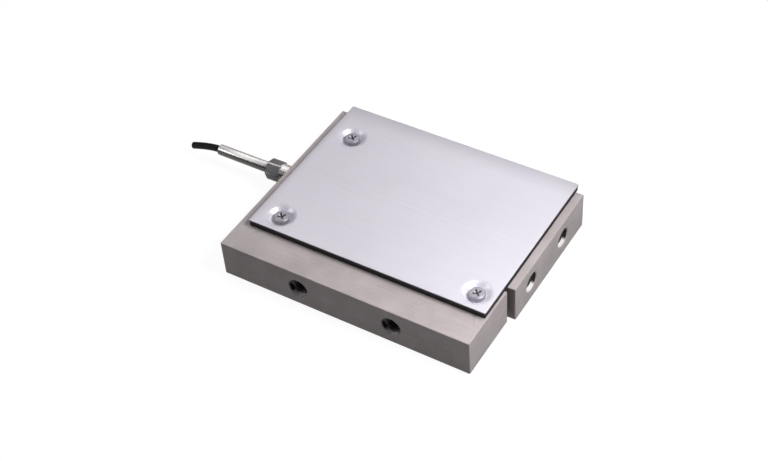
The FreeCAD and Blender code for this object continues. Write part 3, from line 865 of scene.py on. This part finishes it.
def screw_profile():
    """Height and radius along a screw, from its tip up to its head's top, with the head's seat at 0."""
    shank_length = screw_seat - screws_low.z
    profile = [(-shank_length, SCREW_CORE_RADIUS)]
    ridges = int((shank_length - SHEET_THICKNESS) / SCREW_THREAD_PITCH)
    for ridge in range(ridges):
        foot = -shank_length + ridge * SCREW_THREAD_PITCH
        profile.append((foot + SCREW_THREAD_PITCH / 2, SCREW_THREAD_RADIUS))
        profile.append((foot + SCREW_THREAD_PITCH, SCREW_CORE_RADIUS))
    profile.append((0, SCREW_CORE_RADIUS))
    profile.append((0, SCREW_HEAD_RADIUS))
    shoulder_height = SCREW_HEAD_HEIGHT - SCREW_CROWN_RISE - SCREW_SHOULDER
    for step in range(SCREW_CROWN_STEPS + 1):
        turn = math.pi / 2 * step / SCREW_CROWN_STEPS
        radius = SCREW_HEAD_RADIUS - SCREW_SHOULDER * (1 - math.cos(turn))
        profile.append((shoulder_height + SCREW_SHOULDER * math.sin(turn), radius))
    profile.append((SCREW_HEAD_HEIGHT, SCREW_TOP_RADIUS))
    return profile


def pan_screw():
    """A pan head with its cross recess, and the threaded shank below."""
    screw = turned("pan_screw", screw_profile(), sides=SCREW_SIDES)
    cut(screw, recess_blade(RECESS_TURN))
    cut(screw, recess_blade(RECESS_TURN + math.pi / 2))
    cut(screw, recess_well())
    round_edges(screw, SCREW_EDGE_ROUND, COARSE_ROUND_STEPS, SCREW_ROUND_ANGLE)
    # Painted shade in the recess wings and a painted highlight on its middle cone
    accented(screw, "screw_steel", [("recess_painted_shade", in_wing), ("recess_painted_highlight", in_well)])
    return smoothed(screw, FORMED_SMOOTH_ANGLE)


screw_pattern = pan_screw()
for number, (x, y) in enumerate(screw_places, start=1):
    screw = copied(screw_pattern, f"cover_screw_{number}", Matrix.Translation((x, y, screw_seat)))
    finished(screw, "screw_steel", "cover_screws")
bpy.data.objects.remove(screw_pattern)


# Cable gland

def gland_fitting():
    """Barrel and chamfered hexagon, made along +Z from the block's face."""
    hex_start = SEAL_LENGTH + BARREL_LENGTH
    hex_end = hex_start + HEX_LENGTH
    corner_radius = HEX_ACROSS_FLATS / math.sqrt(3)
    face_radius = HEX_ACROSS_FLATS / 2
    slant = (corner_radius - face_radius) * math.tan(HEX_CHAMFER)
    deselect_all()
    bpy.ops.mesh.primitive_cylinder_add(vertices=HEX_SIDES, radius=corner_radius, depth=HEX_LENGTH)
    hexagon = named(bpy.context.object, "gland_fitting")
    round_edges(hexagon, HEX_EDGE_ROUND, COARSE_ROUND_STEPS)
    lift = Matrix.Translation((0, 0, hex_start + HEX_LENGTH / 2))
    placed(hexagon, lift @ Matrix.Rotation(HEX_TURN, 4, "Z"))

    def on_chamfer(face):
        """Whether a face leans outwards on the hexagon's end."""
        return face.center.z > hex_start + MERGE_DISTANCE and face.normal.z > CHAMFER_LEAN

    def on_flat(face):
        """Whether a face is one of the hexagon's six flats."""
        turn = math.degrees(math.atan2(face.normal.y, face.normal.x) - HEX_TURN)
        from_flat = abs((turn + HEX_STEP / 2) % HEX_STEP - HEX_STEP / 2)
        upright = abs(face.normal.z) < CHAMFER_LEAN
        return face.center.z > hex_start + MERGE_DISTANCE and upright and from_flat < FLAT_SPREAD

    chamfer = turned("hex_chamfer", [
        (hex_start - slant, corner_radius + slant),
        (hex_end - slant * 2, corner_radius + slant),
        (hex_end - slant, corner_radius),
        (hex_end, face_radius),
    ])
    cut(hexagon, chamfer, "INTERSECT")
    barrel = turned("gland_barrel", [(SEAL_LENGTH, BARREL_RADIUS), (hex_start + slant, BARREL_RADIUS)])
    cut(hexagon, barrel, "UNION")
    bore_radius = sleeve_radius + SLEEVE_BORE_GAP / 2
    bore = turned("gland_bore", [(0, bore_radius), (hex_end * 2, bore_radius)])
    cut(hexagon, bore)
    # Painted light and shade: the barrel and the hexagon's rounded edges keep the bright nickel, and its
    # flats and chamfer take darker copies of it
    accented(hexagon, "gland_nickel", [("hex_flat_painted_shade", on_flat), ("chamfer_painted_shade", on_chamfer)])
    placed(hexagon, outward)
    return smoothed(hexagon, HEX_SMOOTH_ANGLE)


def rounded_tube(name, near, far, inner, outer, edge_round):
    """A tube with rounded ends, turned between two distances from the block's face."""
    profile = [(near, inner), (near, outer), (far, outer), (far, inner)]
    tube = turned(name, profile, hollow=True)
    round_edges(tube, edge_round, FINE_ROUND_STEPS)
    placed(tube, outward)
    return smoothed(tube, FORMED_SMOOTH_ANGLE)


def strain_sleeve():
    """A thin tube with rolled ends, seated in the hexagon."""
    near = cable_exit.x - sleeve_high.x
    far = cable_exit.x - sleeve_low.x
    inner = CABLE_RADIUS + SLEEVE_BORE_GAP
    return rounded_tube("strain_sleeve", near, far, inner, sleeve_radius, SLEEVE_MOUTH_ROUND)


def seal_ring():
    """The soft ring between the block's face and the barrel."""
    ring_low, ring_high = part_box("gland_seal_ring")
    outer = (ring_high.z - ring_low.z) / 2
    return rounded_tube("seal_ring", 0, SEAL_LENGTH, SEAL_INNER_RADIUS, outer, SEAL_EDGE_ROUND)


fitting = finished(gland_fitting(), "gland_nickel", "gland_body")
sleeve = finished(strain_sleeve(), "gland_nickel", "gland_sleeve")
ring = finished(seal_ring(), "seal_rubber", "gland_seal_ring")


# Cable

def cable():
    """The jacket along its route, up to just short of the cut end."""
    points = [*CABLE_ROUTE[:-1], jacket_end]
    line = bpy.data.curves.new("cable_stub", "CURVE")
    line.dimensions = "3D"
    spline = line.splines.new("NURBS")
    spline.points.add(len(points) - 1)
    for control, place in zip(spline.points, points):
        control.co = (*place, 1)
    spline.order_u = CABLE_CURVE_ORDER
    spline.use_endpoint_u = True
    spline.resolution_u = CABLE_ROUTE_STEPS
    line.bevel_depth = CABLE_RADIUS
    line.bevel_resolution = CABLE_ROUND_STEPS
    line.use_fill_caps = True
    stub = bpy.data.objects.new("cable_stub", line)
    bpy.context.scene.collection.objects.link(stub)
    return stub


def on_copper(face):
    """Whether a face of a core, standing on its foot, is past its insulation."""
    return face.center.z > CORE_LENGTH + MERGE_DISTANCE


def cut_end():
    """Filler and four cores with their copper, where the cable is cut off."""
    cut_place = Matrix.Translation(jacket_end) @ aimed(cut_direction)
    filler = turned("cable_filler", [(0, FILLER_RADIUS), (FILLER_LENGTH, FILLER_RADIUS)])
    placed(filler, cut_place)
    pieces = [finished(filler, "gauge_silicone")]
    for number, colour in enumerate(CORE_COLOURS):
        core = turned(f"cut_core_{colour}", [
            (0, CORE_RADIUS),
            (CORE_LENGTH, CORE_RADIUS),
            (CORE_LENGTH, CONDUCTOR_RADIUS),
            (CUT_BACK, CONDUCTOR_RADIUS),
        ], sides=CORE_SIDES)
        accented(core, f"core_{colour}", [("terminal_copper", on_copper)])
        turn = math.tau * number / len(CORE_COLOURS)
        aside = Matrix.Rotation(turn, 4, "Z") @ Matrix.Translation((CORE_CIRCLE, 0, 0))
        placed(core, cut_place @ aside)
        pieces.append(finished(smoothed(core), f"core_{colour}"))
    return pieces


stub = finished(cable(), "cable_jacket", "cable")
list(cut_end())


# Camera

def camera_turn():
    """The camera's turn from its azimuth, elevation and roll."""
    back = Vector((
        math.sin(CAMERA_AZIMUTH) * math.cos(CAMERA_ELEVATION),
        -math.cos(CAMERA_AZIMUTH) * math.cos(CAMERA_ELEVATION),
        math.sin(CAMERA_ELEVATION),
    ))
    level = Vector((math.cos(CAMERA_AZIMUTH), math.sin(CAMERA_AZIMUTH), 0))
    upright = back.cross(level)
    right = level * math.cos(CAMERA_ROLL) + upright * math.sin(CAMERA_ROLL)
    up = upright * math.cos(CAMERA_ROLL) - level * math.sin(CAMERA_ROLL)
    return Matrix((right, up, back)).transposed().to_4x4()


camera_data = bpy.data.cameras.new("camera")
camera_data.lens = CAMERA_LENS
camera_data.sensor_width = CAMERA_SENSOR
camera = bpy.data.objects.new("camera", camera_data)
camera.matrix_world = Matrix.Translation(CAMERA_EYE) @ camera_turn()
bpy.context.scene.collection.objects.link(camera)
bpy.context.scene.camera = camera


# Floor, lights and world

def floor_paint():
    """Pale floor that keeps shadows and looks white to the eye and in metal."""
    paint = bpy.data.materials.new("floor_paint")
    paint.use_nodes = True
    nodes = paint.node_tree.nodes
    links = paint.node_tree.links
    nodes.clear()
    matt = nodes.new("ShaderNodeBsdfDiffuse")
    matt.inputs["Color"].default_value = opaque(FLOOR_TONE)
    glow = nodes.new("ShaderNodeEmission")
    glow.inputs["Color"].default_value = opaque(FLOOR_GLOW)
    path = nodes.new("ShaderNodeLightPath")
    seen = nodes.new("ShaderNodeMath")
    seen.operation = "MAXIMUM"
    seen_or_passed = nodes.new("ShaderNodeMath")
    seen_or_passed.operation = "MAXIMUM"
    total = nodes.new("ShaderNodeAddShader")
    output = nodes.new("ShaderNodeOutputMaterial")
    links.new(path.outputs["Is Camera Ray"], seen.inputs[0])
    links.new(path.outputs["Is Glossy Ray"], seen.inputs[1])
    links.new(seen.outputs["Value"], seen_or_passed.inputs[0])
    links.new(path.outputs["Is Transmission Ray"], seen_or_passed.inputs[1])
    links.new(seen_or_passed.outputs["Value"], glow.inputs["Strength"])
    links.new(matt.outputs["BSDF"], total.inputs[0])
    links.new(glow.outputs["Emission"], total.inputs[1])
    links.new(total.outputs["Shader"], output.inputs["Surface"])
    return paint


deselect_all()
bpy.ops.mesh.primitive_plane_add(size=FLOOR_SIZE)
floor = named(bpy.context.object, "floor")
placed(floor, Matrix.Translation((0, 0, block_low.z - FLOOR_DROP)))
floor.data.materials.append(floor_paint())


def softbox(name, place, aim, width, length, power):
    """A soft lamp whose length lies level, across its aim."""
    light = bpy.data.lights.new(name, "AREA")
    light.shape = "RECTANGLE"
    light.size = length
    light.size_y = width
    light.energy = power
    lamp = bpy.data.objects.new(name, light)
    lamp.matrix_world = Matrix.Translation(place) @ aimed(Vector(aim) - Vector(place), "-Z")
    lamp.visible_camera = False
    bpy.context.scene.collection.objects.link(lamp)


for name, setup in SOFT_LAMPS.items():
    softbox(name, *setup)

world = bpy.data.worlds.new("studio")
world.use_nodes = True
world.node_tree.nodes["Background"].inputs["Color"].default_value = opaque(WORLD_TONE)
bpy.context.scene.world = world

bpy.context.scene.view_settings.view_transform = "Standard"
